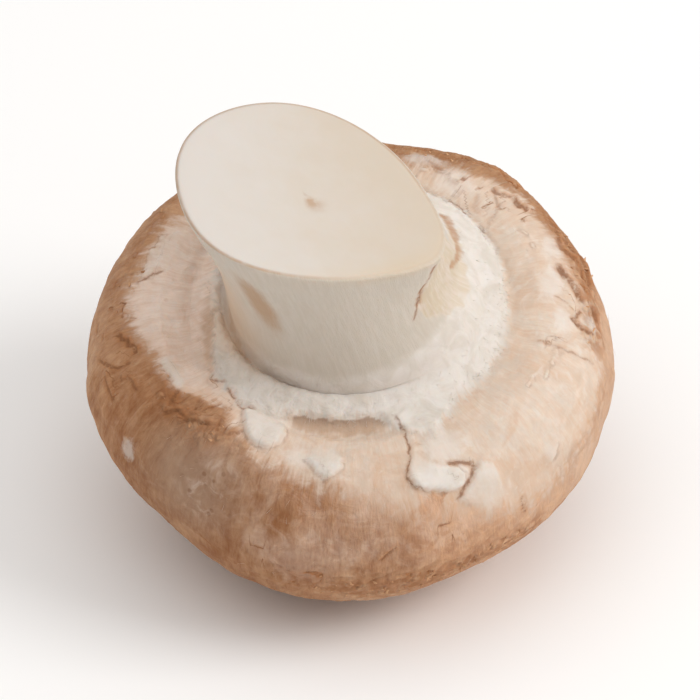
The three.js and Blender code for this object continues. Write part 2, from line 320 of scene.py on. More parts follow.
class MushroomSizes(bpy.types.PropertyGroup):
    cap_radius: FloatProperty(
        name="Cap radius", description="From the axis to the widest part of the cap",
        default=0.024, min=0.01, max=0.05, unit="LENGTH")
    crown_height: FloatProperty(
        name="Crown height", description="From the crown to the widest part of the cap",
        default=0.0165, min=0.005, max=0.03, unit="LENGTH")
    shoulder_height: FloatProperty(
        name="Shoulder height", description="From the widest part of the cap to its rim",
        default=0.0084, min=0.002, max=0.02, unit="LENGTH")
    rim_radius: FloatProperty(
        name="Rim radius", description="From the axis to the rim that the shoulder rolls in to",
        default=0.0172, min=0.01, max=0.03, unit="LENGTH")
    stem_radius: FloatProperty(
        name="Stem radius", description="Half the width of the stem at its foot",
        default=0.0112, min=0.004, max=0.02, unit="LENGTH")
    cut_radius: FloatProperty(
        name="Cut radius", description="Half the width of the stem at the cut",
        default=0.0113, min=0.004, max=0.02, unit="LENGTH")
    stem_length: FloatProperty(
        name="Stem length", description="From the rim to the cut",
        default=0.0155, min=0.005, max=0.04, unit="LENGTH")
    tip_forwards: FloatProperty(
        name="Tip forwards", description="How far the mushroom leans to the front on its crown",
        default=math.radians(13), min=0, max=math.radians(40), subtype="ANGLE")


class MushroomFinish(bpy.types.PropertyGroup):
    skin_dark: FloatVectorProperty(
        name="Dark skin", description="The darkest fibres of the cap",
        default=srgb(150, 92, 50), size=3, min=0, max=1, subtype="COLOR")
    # This colour is also the painted light on the tops of the shaggy ridges.
    skin_light: FloatVectorProperty(
        name="Light skin", description="The lightest fibres of the cap",
        default=srgb(205, 158, 118), size=3, min=0, max=1, subtype="COLOR")
    bare_warm: FloatVectorProperty(
        name="Bare flesh, warm", description="The bare shoulder on the lit side",
        default=srgb(221, 204, 188), size=3, min=0, max=1, subtype="COLOR")
    # Pinkish bare flesh, made lighter than the warm one as painted light on the left where the stem shades
    # it; also the colour of scuffs.
    bare_pink: FloatVectorProperty(
        name="Bare flesh, pinkish", description="The bare shoulder on the left",
        default=srgb(242, 223, 210), size=3, min=0, max=1, subtype="COLOR")
    veil_white: FloatVectorProperty(
        name="Veil", description="The cottony veil",
        default=srgb(227, 219, 211), size=3, min=0, max=1, subtype="COLOR")
    stem_white: FloatVectorProperty(
        name="Stem", description="The side of the stem",
        default=srgb(204, 193, 179), size=3, min=0, max=1, subtype="COLOR")
    cut_cream: FloatVectorProperty(
        name="Cut", description="The cut face of the stem",
        default=srgb(213, 205, 197), size=3, min=0, max=1, subtype="COLOR")
    bruise_tan: FloatVectorProperty(
        name="Bruise", description="Bruised and dried flesh: the scar, the split and the pith",
        default=srgb(178, 138, 102), size=3, min=0, max=1, subtype="COLOR")
    cut_tan: FloatVectorProperty(
        name="Cut, warmer", description="The right of the cut, which has dried a little",
        default=srgb(206, 191, 173), size=3, min=0, max=1, subtype="COLOR")
    # Painted warm bounce light in the shade on the left of the stem's foot and veil.
    warm_bounce_tint: FloatVectorProperty(
        name="Stain", description="The foot of the stem and the veil on the left",
        default=srgb(228, 199, 170), size=3, min=0, max=1, subtype="COLOR")
    ochre: FloatVectorProperty(
        name="Ochre", description="Rubbed flesh on the right of the stem",
        default=srgb(208, 187, 156), size=3, min=0, max=1, subtype="COLOR")
    # This grey is also painted shade in the groove at the foot of the stem.
    bruise_and_groove_shade: FloatVectorProperty(
        name="Grey bruise", description="Bruised skin low on the left, and the shaded groove",
        default=srgb(170, 142, 120), size=3, min=0, max=1, subtype="COLOR")
    # This colour is also the painted shadow under the shaggy ridges.
    dried_edge_and_shadow: FloatVectorProperty(
        name="Dried edge", description="The dried edges of torn skin",
        default=srgb(176, 116, 70), size=3, min=0, max=1, subtype="COLOR")
    # The crack colour is also the painted shadow along raised pieces of veil and under the veil in the
    # slit.
    crack_and_shadow_brown: FloatVectorProperty(
        name="Crack", description="The bottom of a crack",
        default=srgb(122, 78, 48), size=3, min=0, max=1, subtype="COLOR")
    seed: IntProperty(
        name="Seed", description="Start of the random draws that place flakes and fibres",
        default=7, min=0)


class MushroomStage(bpy.types.PropertyGroup):
    camera_elevation: FloatProperty(
        name="Camera elevation", description="How far above the surface the camera looks down from",
        default=math.radians(40), min=0, max=math.radians(90), subtype="ANGLE")
    camera_distance: FloatProperty(
        name="Camera distance", description="From the camera to the mushroom",
        default=0.5, min=0.1, max=3, unit="LENGTH")
    camera_lens: FloatProperty(
        name="Lens", description="Focal length, in millimetres", default=278, min=20, max=400)
    top_power: FloatProperty(
        name="Top light", description="The wide soft box overhead", default=4.7, min=0, unit="POWER")
    key_power: FloatProperty(
        name="Key light", description="The soft box on the right", default=3.0, min=0, unit="POWER")
    sky_strength: FloatProperty(
        name="Sky", description="The even light from all round", default=0.46, min=0)
    sky_colour: FloatVectorProperty(
        name="Sky colour", description="The tint of the even light",
        default=(1.0, 0.985, 0.965), size=3, min=0, max=1, subtype="COLOR")
    floor_colour: FloatVectorProperty(
        name="Floor", description="The pale surface that it rests on",
        default=srgb(252, 251, 250), size=3, min=0, max=1, subtype="COLOR")


def wrapped(angle):
    """An angle in degrees, from -180 to 180."""
    return (angle + 180) % 360 - 180


def near(angle, centre, spread):
    """A bell shape, 1 at an angle and fading on both sides of it."""
    return np.exp(-((wrapped(angle - centre) / spread) ** 2))


def smooth(value, low, high):
    """0 up to low, 1 from high, and an even S between them."""
    share = np.clip((value - low) / (high - low), 0, 1)
    return share * share * (3 - 2 * share)


def by_angle(table, angle):
    """A value that is listed by angle, at any angle."""
    return np.interp(angle, *zip(*table), period=360)


def spline(points, share):
    """The point at a share of the way along an even Catmull-Rom spline."""
    last = len(points) - 1
    first = min(int(share * last), last - 1)
    part = share * last - first
    before = points[max(first - 1, 0)]
    start, end = points[first], points[first + 1]
    after = points[min(first + 2, last)]
    leave, arrive = (end - before) / 2, (after - start) / 2
    return ((2 * start - 2 * end + leave + arrive) * part ** 3
            + (3 * end - 3 * start - 2 * leave - arrive) * part ** 2 + leave * part + start)


class Form:
    """The shape of the mushroom, in millimetres, from the sizes that the user sets."""

    def __init__(self, sizes):
        self.cap = sizes.cap_radius / MM
        self.crown = sizes.crown_height / MM
        self.shoulder = sizes.shoulder_height / MM
        self.rim = sizes.rim_radius / MM
        self.stem = sizes.stem_radius / MM
        self.cut = sizes.cut_radius / MM
        self.stem_length = sizes.stem_length / MM
        self.rim_height = self.crown + self.shoulder
        self.lie = Matrix.Translation(-REST_POINT) @ Matrix.Rotation(sizes.tip_forwards, 4, "X")

    def stations(self):
        """The stretch and the share of it for each point of a meridian, crown first."""
        listed = [(stretch, step / steps) for stretch, steps in STEPS.items() for step in range(steps)]
        return listed + [("cut", 1.0)]

    def reaches(self):
        """The reach of each station, measured along a meridian with a plain flat veil."""
        points = []
        for stretch, share in self.stations():
            if stretch == "veil":
                points.append((self.rim + (self.stem - self.rim) * share, self.rim_height))
            elif stretch == "stem":
                radius = self.stem + (self.cut - self.stem) * share
                points.append((radius, self.rim_height + self.stem_length * share))
            elif stretch == "cut":
                points.append((self.cut * (1 - share), self.rim_height + self.stem_length))
            else:
                radius, height = self.profile(stretch, share, np.zeros(1))
                points.append((float(radius[0]), float(height[0])))
        ways = np.concatenate([[0], np.cumsum(np.hypot(*np.diff(points, axis=0).T))])
        return ways[FOOT] - ways

    def veil_points(self, angle):
        """The points that the veil's meridian runs through, from the rim to the stem."""
        flares = sum(f["share"] * near(angle, f["angle"], f["spread"]) for f in FLARES)
        flare = np.minimum(1, flares)
        rise = FLARE_HEIGHT * flare
        groove = GROOVE["depth"] * (1 - flare)
        split = SPLIT["depth"] * near(angle, SPLIT["angle"], SPLIT["spread"])
        valley = VALLEY["depth"] * near(angle, VALLEY["angle"], VALLEY["spread"])
        top, veil = self.rim_height, self.rim_height - VEIL_DROP
        return [np.array(np.broadcast_arrays(radius, height)) for radius, height in (
            (self.rim, top + 0 * angle),
            (SPLIT["radius"] + 1, top - VEIL_DROP / 2 - valley / 2),
            (SPLIT["radius"], veil - split - valley),
            (VEIL_RADIUS + 0.8, veil - split / 4 - valley + FLARE_RISE["veil"] * rise),
            (VEIL_RADIUS - 0.3, veil - valley / 2 + FLARE_RISE["ring"] * rise),
            (GROOVE["radius"], top - groove + FLARE_RISE["groove"] * rise),
            (self.stem, top + rise),
        )]

    def profile(self, stretch, share, angle):
        """The radius and the height of a station, at each of several angles."""
        turn = share * math.pi / 2
        if stretch == "dome":
            radius = self.cap * math.sin(turn) ** DOME_ROUNDNESS
            height = self.crown * (1 - math.cos(turn) ** DOME_FALL)
        elif stretch == "shoulder":
            radius = self.rim + (self.cap - self.rim) * math.cos(turn)
            height = self.crown + self.shoulder * math.sin(turn)
        elif stretch == "veil":
            radius, height = spline(self.veil_points(angle), share)
        elif stretch == "stem":
            foot_radius, foot_height = self.veil_points(angle)[-1]
            height = foot_height + (self.rim_height + self.stem_length - foot_height) * share
            radius = foot_radius + (self.cut - foot_radius) * share
            waist = STEM_WAIST * math.sin(share * math.pi)
            radius = radius - waist + self.stem_swell(angle, height)
        else:
            height = self.rim_height + self.stem_length
            radius = (self.cut + self.stem_swell(angle, height)) * (1 - share)
        return radius + 0 * angle, height + 0 * angle

    def stem_swell(self, angle, height):
        """How far all the stem's swells lift it."""
        return sum(self.swell(swell, angle, height) for swell in STEM_SWELLS)

    @staticmethod
    def swell(swell, angle, height):
        """How far a swell lifts the surface."""
        bell = np.exp(-((height - swell["height"]) / swell["reach"]) ** 2)
        return swell["swell"] * near(angle, swell["angle"], swell["spread"]) * bell

    def points(self, stretch, share, angle):
        """The points of the plain skin at a station, at each of several angles, in its own frame."""
        on_cap = stretch in ("dome", "shoulder")
        radius, height = self.profile(stretch, share, angle)
        full = np.minimum(1, radius / (self.cap / 2)) if on_cap else smooth(radius, VEIL_RADIUS, self.rim)
        for swell in CAP_SWELLS:
            radius = radius + full * self.swell(swell, angle, height)
        x = radius * np.cos(np.radians(angle))
        y = radius * np.sin(np.radians(angle))
        z = height
        if stretch == "dome":
            y = y + CROWN_SHIFT * (1 - height / self.crown) ** 2
        if not on_cap:
            climb = np.maximum(0, (height - self.rim_height) / self.stem_length)
            inwards = 1 - smooth(radius, VEIL_RADIUS - 0.4, VEIL_RADIUS + 3.6)
            z = z - climb * (CUT_SLOPE[0] * x + CUT_SLOPE[1] * y)
            x = x + climb * STEM_LEAN[0]
            y = y + climb * STEM_LEAN[1] + inwards * STEM_FOOT_Y
        return np.stack([x, y, z], -1)


class Places:
    """Where each point of a surface lies: its angle, its reach and its distance from the axis."""

    def __init__(self, angle, reach, radius, point, cut_reach):
        self.angle, self.reach, self.radius, self.point = angle, reach, radius, point
        self.past_cut = cut_reach - reach

    def offset(self, angle, reach):
        """How far each point is across and along from a place, in millimetres."""
        across = np.radians(wrapped(self.angle - angle)) * self.radius
        return across, self.reach - reach

    def spot(self, mark, edge=0.35):
        """1 inside an oval mark, fading over its edge."""
        across, along = self.offset(mark["angle"], mark["reach"])
        turn = math.radians(mark["turn"])
        over = across * math.cos(turn) + along * math.sin(turn)
        down = along * math.cos(turn) - across * math.sin(turn)
        return 1 - smooth(np.hypot(over / mark["wide"], down / mark["long"]), 1 - edge, 1 + edge)

    def from_path(self, path):
        """How far each point is from a line through several places, on either side of it."""
        nearest = np.full(len(self.angle), FAR)
        side, past = np.full(len(self.angle), FAR), np.zeros(len(self.angle))
        for start, end in zip(path, path[1:]):
            start_over, start_along = self.offset(*start)
            end_over, end_along = self.offset(*end)
            over, along = start_over - end_over, start_along - end_along
            way = np.maximum(np.hypot(over, along), 1e-6)
            share = (start_over * over + start_along * along) / way ** 2
            held = np.clip(share, 0, 1)
            gap = np.hypot(start_over - held * over, start_along - held * along)
            closer = gap < nearest
            nearest = np.where(closer, gap, nearest)
            side = np.where(closer, (start_over * along - start_along * over) / way, side)
            past = np.where(closer, np.abs(share - held) * way, past)
        return nearest, side, past

    def within(self, outline):
        """How far each point is inside an outline, in millimetres, and negative outside it."""
        first = outline[0][0]
        angle = wrapped(self.angle - first)
        inside = np.zeros(len(angle), bool)
        for (start, low), (end, high) in zip(outline, [*outline[1:], outline[0]]):
            start, end = wrapped(start - first), wrapped(end - first)
            if low != high:
                crosses = (low > self.reach) != (high > self.reach)
                inside ^= crosses & (angle < start + (self.reach - low) * (end - start) / (high - low))
        gap = self.from_path([*outline, outline[0]])[0]
        return np.where(inside, gap, -gap)

    def band(self, band, soft=1.2):
        """1 inside a band of angles and reaches, fading at its borders."""
        middle, half = (band["from"] + band["to"]) / 2, (band["to"] - band["from"]) % 360 / 2
        if band["to"] < band["from"]:
            middle += 180
        if band["to"] - band["from"] >= 360:
            round_axis = 1.0
        else:
            round_axis = 1 - smooth(np.abs(wrapped(self.angle - middle)), half - 4, half + 2)
        outwards = smooth(self.reach, band["inner"] - soft / 2, band["inner"] + soft)
        return round_axis * outwards * (1 - smooth(self.reach, band["outer"] - soft, band["outer"] + soft))

    def swirl(self, size, seed, warp):
        """Noise whose bumps are drawn out into curls."""
        shift = Vector((seed * 17.3, seed * 5.1, seed * 9.7))
        return np.array([
            noise.variable_lacunarity(Vector(place) / size + shift, warp) for place in self.point])

    def grain(self, size, seed, octaves=1, stretch=(1, 1, 1)):
        """Soft noise from -1 to 1 with bumps of a size in millimetres."""
        scale = Vector(stretch) / size
        shift = Vector((seed * 17.3, seed * 5.1, seed * 9.7))
        return np.array([
            noise.fractal(Vector((x * scale.x, y * scale.y, z * scale.z)) + shift, 1.0, 2.0, octaves)
            for x, y, z in self.point
        ])


def marks_of(places):
    """The marks that both the relief and the colours follow, each from 0 to 1 or in millimetres."""
    ragged = places.grain(1.1, 3, 2)
    fine = places.grain(0.5, 4, 1)
    angle, reach = places.angle, places.reach
    brown = (reach - by_angle(BROWN_EDGE, angle)) * by_angle(CRISPNESS, angle)
    brownness = by_angle(BROWNNESS, angle)
    brown_below = 0.9 - 0.16 * near(angle, 295, 30)
    brownness = brownness + (brown_below - brownness) * smooth(reach, 17, 27)
    veil = by_angle(VEIL_EDGE, angle) - reach
    veil = np.where(reach < 0, np.maximum(veil, 1), veil)
    flare = np.minimum(1, sum(f["share"] * near(angle, f["angle"], f["spread"]) for f in FLARES))
    crack_gap = np.full(len(angle), FAR)
    crack_side, thin = (np.ones(len(angle)) for _ in range(2))
    crack, depth, lip = (np.zeros(len(angle)) for _ in range(3))
    for line in CRACKS:
        gap, side, past = places.from_path(line["path"])
        closer = gap < crack_gap
        crack_gap = np.where(closer, gap, crack_gap)
        taper = 1 - smooth(past, 0.0, 0.4)
        crack_side = np.where(closer, np.clip(side, -1.5, 1.5), crack_side)
        crack = np.where(closer, line["dark"] * taper * (1 - smooth(gap, 1.0, 1.5)), crack)
        thin = np.where(closer, 1 / line["half"], thin)
        depth = np.where(closer, 0.05 + 0.22 * line["half"], depth)
        raised = smooth(side, 0.0, 0.2) * (1 - smooth(side, 0.3, 1.3)) * taper
        lip = np.maximum(lip, line.get("lip", 0) * raised)
    rise, white = (np.zeros(len(angle)) for _ in range(2))
    patch_edge_shadow = np.full(len(angle), -1.0)
    for piece in PATCHES:
        low, high = (f(place[1] for place in piece["outline"]) for f in (min, max))
        torn = piece.get("ragged", 1.0) * (0.16 * ragged + 0.1 * fine)
        inside = places.within(piece["outline"]) + torn
        free = smooth(reach, low, low + 0.6 * (high - low))
        if piece.get("root") == "outer":
            free = 1 - smooth(reach, high - 0.75 * (high - low), high)
        rise = np.maximum(rise, piece["rise"] * smooth(inside, -0.12, 0.22) * free)
        white = np.maximum(white, piece["white"] * smooth(inside, -0.15, 0.25) * (0.4 + 0.6 * free))
        # Where the painted shadow runs along the free edge of a raised piece.
        edge_here = np.abs(inside + 0.12) < np.abs(patch_edge_shadow + 0.12)
        if piece.get("edge_shadowed", True):
            patch_edge_shadow = np.where(edge_here & (free > 0.75), inside, patch_edge_shadow)
    slit_starts = smooth(angle, SLIT["from"], SLIT["from"] + 3)
    along_slit = slit_starts * (1 - smooth(angle, SLIT["to"] - 10, SLIT["to"]))
    inner = smooth(-veil + 0.25 * ragged + 0.1 * fine, -0.05, 0.12)
    outer = 1 - smooth(reach + 0.4 * fine, SLIT["outer"] - 0.7, SLIT["outer"] + 0.5)
    pale = np.zeros(len(angle))
    for spot in PALE_SPOTS:
        pale = np.maximum(pale, places.spot(spot, 0.85))
    peeling, shaggy = np.zeros(len(angle)), np.zeros(len(angle))
    for band in PEELS:
        inside = places.band(band)
        peeling = np.maximum(peeling, band["share"] * inside)
        shaggy = np.maximum(shaggy, band["shaggy"] * inside)
    scaly = np.zeros(len(angle))
    for band in SCALES:
        scaly = np.maximum(scaly, band["share"] * places.band(band))
    layer = ((reach + 1.5 * ragged + 0.5 * fine + 1.2 * places.grain(3.0, 14, 1)) / 1.3) % 1
    curls = places.swirl(1.7, 11, 1.6)
    off_crease = reach - by_angle(CREASE, angle) - 0.4 * ragged
    return {
        "brown": brown,
        "brownness": brownness,
        "scuffed": by_angle(SCUFFED, angle) * (1 - 0.7 * smooth(reach, 14, 19)),
        "veil": veil,
        "flare": flare,
        "crack": crack,
        "crack_side": crack_side,
        "crack_thin": thin,
        "depth": depth,
        "lip": lip,
        "patch_edge_shadow": patch_edge_shadow,
        "rise": rise,
        "white": white,
        "slit": along_slit * inner * outer,
        # Where painted shade falls in the groove at the foot of the stem.
        "groove": (1 - flare) * np.exp(-((reach - 0.8) / 0.8) ** 2),
        "crease": near(angle, 194, 18) * np.exp(-(off_crease / 0.7) ** 2),
        "pale": pale,
        "pink": near(angle, 180, 55),
        "peeling": peeling,
        "shaggy": shaggy * (1 - smooth(layer, 0.0, 0.9)),
        "under": shaggy * smooth(layer, 0.72, 0.98) * smooth(brown, -0.6, 1.2),
        "peel": 0.75 * curls + 0.62 * peeling - 0.62,
        "smudge": places.spot(SMUDGE, 0.9),
        "scar": smooth(places.within(SCAR) + 0.5 * ragged, -0.2, 0.9),
        "streak": 1 - smooth(places.from_path(SCAR_DARK)[0] + 0.3 * ragged, 0.0, 0.85),
        "pith": places.spot(PITH, 0.7),
        "bruise": places.spot(BRUISE, 0.8),
        "bruise_middle": places.spot(BRUISE_MIDDLE, 0.8),
        "brown_spot": sum(places.spot(spot, 0.8) for spot in BROWN_SPOTS),
        "film": places.spot(FILM, 0.9),
        "scaly": scaly,
        # Painted shade and painted light on the brown skin, by angle.
        "shade": by_angle(PAINTED_SKIN_SHADE, angle),
        "rim": by_angle(RIM, angle),
        "yellow": near(angle, 318, 36) * (1 - smooth(np.abs(places.past_cut), 0.3, 2.2)),
        "cut_warm": 0.45 + 0.5 * np.cos(np.radians(angle - 10)) * (1 - places.past_cut / 11.3),
        "past_cut": places.past_cut,
        # Painted warm bounce light in the shade at the foot of the stem, the veil on the left and up the
        # stem there.
        "warm_bounce": near(angle, 203, 24) * (1 - smooth(reach, 1.2, 3.4)) * (1 - smooth(-reach, 9, 15.5)),
    }


def relief_of(places, marks):
    """How far the real skin stands out from the plain one, in millimetres."""
    on_stem = smooth(-places.reach, 0.2, 1.5) * (1 - smooth(places.past_cut, -0.7, 0))
    on_cap = smooth(places.reach, 4.0, 7.0)
    in_veil = smooth(marks["veil"], -0.3, 0.2) * smooth(places.reach, 0.2, 1.0)
    torn = places.grain(1.3, 5, 3)
    lumps = 0.32 * places.grain(9, 1, 2) * on_cap + 0.14 * places.grain(3.2, 2, 2) * on_cap
    sheet = smooth(marks["veil"] + 0.45 * torn, -0.12, 0.2) * (1 - 0.8 * marks["flare"])
    veil = 0.32 * sheet * smooth(places.reach, 0.6, 1.4)
    filled = 1.0 * near(places.angle, 296, 56) * np.exp(-((places.reach - 1.0) / 0.9) ** 2)
    fluff = filled + 0.14 * places.grain(0.8, 6, 2) * in_veil * (1 - 0.85 * smooth(marks["flare"], 0, 0.6))
    calm = smooth(marks["flare"], 0.2, 0.7) * smooth(marks["veil"], -0.5, 0.8)
    bare = 0.07 * places.grain(1.6, 7, 3) * smooth(places.reach, 2, 4) * (1 - 0.8 * calm)
    ridges = 0.5 - 2 * np.abs(places.grain(2.2, 12, 2))
    ruffle = 0.22 * marks["peeling"] * (ridges + 0.6 * places.grain(0.9, 13, 2)) * on_cap
    ruffle = ruffle + 0.36 * marks["shaggy"] - 0.1 * marks["under"]
    on_skin = smooth(marks["brown"], -0.6, 1.2)
    hole = smooth(marks["peel"], -0.08, 0.12) * smooth(marks["peeling"], 0.02, 0.15) * on_skin
    lip = np.exp(-((marks["peel"] + 0.12) / 0.12) ** 2) * marks["peeling"] * on_skin
    peel = (0.14 * lip - 0.22 * hole) * on_cap
    ribs = 0.035 * places.grain(1.0, 8, 2, (1, 1, 0.08)) * on_stem
    scar = marks["scar"] * (0.08 * places.grain(0.7, 9, 2, (1, 1, 0.3)) - 0.1)
    across = marks["crack_side"] * marks["crack_thin"] / 1.5
    cracks = marks["lip"] - marks["depth"] * marks["crack"] * np.exp(-across ** 2)
    splits = -0.14 * marks["slit"] - 0.2 * marks["crease"]
    step_up = 0.22 * smooth(marks["brown"], -0.4, 0.4) * smooth(by_angle(CRISPNESS, places.angle), 1.2, 2.4)
    streak = -0.12 * marks["streak"]
    scales = 0.12 * marks["scaly"] * places.grain(0.6, 15, 2)
    dents = -0.12 * marks["bruise_middle"] * np.abs(places.grain(0.9, 10, 2))
    skin = lumps + veil + fluff + bare + ruffle + peel + marks["rise"]
    return skin + ribs + scar + cracks + splits + step_up + (streak + scales) + dents


class Skin:
    """The finished body as a grid of points, to set smaller pieces on."""

    def __init__(self, body):
        mesh = body.data
        count = len(mesh.vertices)
        place, normal = np.empty(count * 3), np.empty(count * 3)
        mesh.vertices.foreach_get("co", place)
        mesh.vertex_normals.foreach_get("vector", normal)
        station, angle = np.empty(count), np.empty(count)
        mesh.attributes["station"].data.foreach_get("value", station)
        mesh.attributes["angle"].data.foreach_get("value", angle)
        rows = np.rint(station).astype(int)
        columns = np.rint(angle * MERIDIANS / 360).astype(int) % MERIDIANS
        self.form = Form(bpy.context.scene.mushroom_sizes)
        self.reach = self.form.reaches()
        self.radii = [float(self.form.profile(*at, np.zeros(1))[0][0]) for at in self.form.stations()]
        shape = (len(self.reach), MERIDIANS, 3)
        self.place, self.normal = np.empty(shape), np.empty(shape)
        for grid, values in ((self.place, place.reshape(-1, 3)), (self.normal, normal.reshape(-1, 3))):
            grid[rows, columns] = values
            grid[0] = values[rows == 0][0]
            grid[-1] = values[rows == shape[0] - 1][0]

    def _blend(self, grid, angle, reach):
        row = float(np.interp(-reach, -self.reach, np.arange(len(self.reach))))
        column = (angle % 360) * MERIDIANS / 360
        top, left = min(int(row), len(self.reach) - 2), int(column) % MERIDIANS
        down, over = row - top, column - int(column)
        right = (left + 1) % MERIDIANS
        upper = grid[top, left] * (1 - over) + grid[top, right] * over
        lower = grid[top + 1, left] * (1 - over) + grid[top + 1, right] * over
        return Vector(upper * (1 - down) + lower * down)

    def point(self, angle, reach):
        return self._blend(self.place, angle, reach)

    def out(self, angle, reach):
        return self._blend(self.normal, angle, reach).normalized()

    def radius(self, reach):
        """The distance from the axis at a reach, in millimetres, and never close to zero."""
        return max(2.0, float(np.interp(-reach, -self.reach, self.radii)))

    def over(self, angle, reach, across, along, height):
        """A point at a way across, along and out from a place, all in millimetres."""
        end_reach = reach + along
        end_angle = angle + math.degrees(across / self.radius(reach))
        return self.point(end_angle, end_reach) + height * MM * self.out(end_angle, end_reach)


class Wire:
    """A socket whose plain arithmetic adds Math nodes."""

    def __init__(self, paint, socket):
        self.paint, self.socket = paint, socket

    def _math(self, operation, first, second):
        return self.paint.node("ShaderNodeMath", {"operation": operation}, {0: first, 1: second})

    def __add__(self, other):
        return self._math("ADD", self, other)

    __radd__ = __add__

    def __mul__(self, other):
        return self._math("MULTIPLY", self, other)

    __rmul__ = __mul__

    def __sub__(self, other):
        return self._math("SUBTRACT", self, other)

    def __rsub__(self, other):
        return self._math("SUBTRACT", other, self)


class Paint:
    """A material and the nodes that give it its finish."""

    def __init__(self, name):
        self.material = bpy.data.materials.new(name)
        self.material.use_nodes = True
        self.tree = self.material.node_tree
        self.shader = self.tree.nodes["Principled BSDF"]

    def node(self, kind, settings=None, sockets=None, output=0):
        """Adds a node with its settings and the values or links of its sockets."""
        made = self.tree.nodes.new(kind)
        for name, value in (settings or {}).items():
            setattr(made, name, value)
        for name, value in (sockets or {}).items():
            if isinstance(value, Wire):
                self.tree.links.new(value.socket, made.inputs[name])
            else:
                made.inputs[name].default_value = value
        return Wire(self, made.outputs[output])

    def attribute(self, name):
        return self.node("ShaderNodeAttribute", {"attribute_name": name}, output="Fac")

    def vector(self, name):
        return self.node("ShaderNodeAttribute", {"attribute_name": name}, output="Vector")

    def object_place(self):
        return self.node("ShaderNodeTexCoord", output="Object")

    def stretched(self, vector, scale):
        return self.node("ShaderNodeVectorMath", {"operation": "MULTIPLY"}, {0: vector, 1: scale})

    def grain(self, vector, scale, detail=2.0, roughness=0.5, distortion=0.0):
        return self.node("ShaderNodeTexNoise", {}, {
            "Vector": vector, "Scale": scale, "Detail": detail, "Roughness": roughness,
            "Distortion": distortion})

    def size_of(self, value):
        return self.node("ShaderNodeMath", {"operation": "ABSOLUTE"}, {0: value})

    def warped(self, vector, scale, amount):
        """A place moved a little by noise."""
        push = self.node("ShaderNodeTexNoise", {}, {"Vector": vector, "Scale": scale}, output="Color")
        push = self.node("ShaderNodeVectorMath", {"operation": "SCALE"}, {0: push, "Scale": amount})
        return self.node("ShaderNodeVectorMath", {"operation": "ADD"}, {0: vector, 1: push})

    def cells(self, vector, scale):
        """How far a place is from the middle of the nearest of many small cells."""
        return self.node("ShaderNodeTexVoronoi", {}, {"Vector": vector, "Scale": scale}, "Distance")

    def step(self, value, low, high, start=0.0, end=1.0):
        """start up to low, end from high, and an even S between them."""
        return self.node("ShaderNodeMapRange", {"interpolation_type": "SMOOTHSTEP"}, {
            "Value": value, "From Min": low, "From Max": high, "To Min": start, "To Max": end})

    def blend(self, share, first, second):
        """Goes from one colour to another."""
        colours = [c if isinstance(c, Wire) else (*c, 1.0) for c in (first, second)]
        return self.node("ShaderNodeMix", {"data_type": "RGBA"}, {
            0: share, 6: colours[0], 7: colours[1]}, output=2)

    def shade(self, colour, share):
        """A colour made lighter or darker by a share that varies."""
        return self.node("ShaderNodeVectorMath", {"operation": "SCALE"}, {0: colour, "Scale": share})

    def finish(self, colour, roughness, height=None, softness=0.0, distance=MM):
        """Joins the finish to the shader. The height is in millimetres."""
        self.tree.links.new(colour.socket, self.shader.inputs["Base Color"])
        if isinstance(roughness, Wire):
            self.tree.links.new(roughness.socket, self.shader.inputs["Roughness"])
        else:
            self.shader.inputs["Roughness"].default_value = roughness
        if height is not None:
            bump = self.node("ShaderNodeBump", {}, {
                "Height": height, "Distance": distance, "Strength": 1.0})
            self.tree.links.new(bump.socket, self.shader.inputs["Normal"])
        self.shader.inputs["Specular IOR Level"].default_value = 0.3
        self.shader.inputs["Subsurface Weight"].default_value = softness
        self.shader.inputs["Subsurface Radius"].default_value = (1.0, 0.55, 0.35)
        self.shader.inputs["Subsurface Scale"].default_value = 1.2 * MM
        return self.material


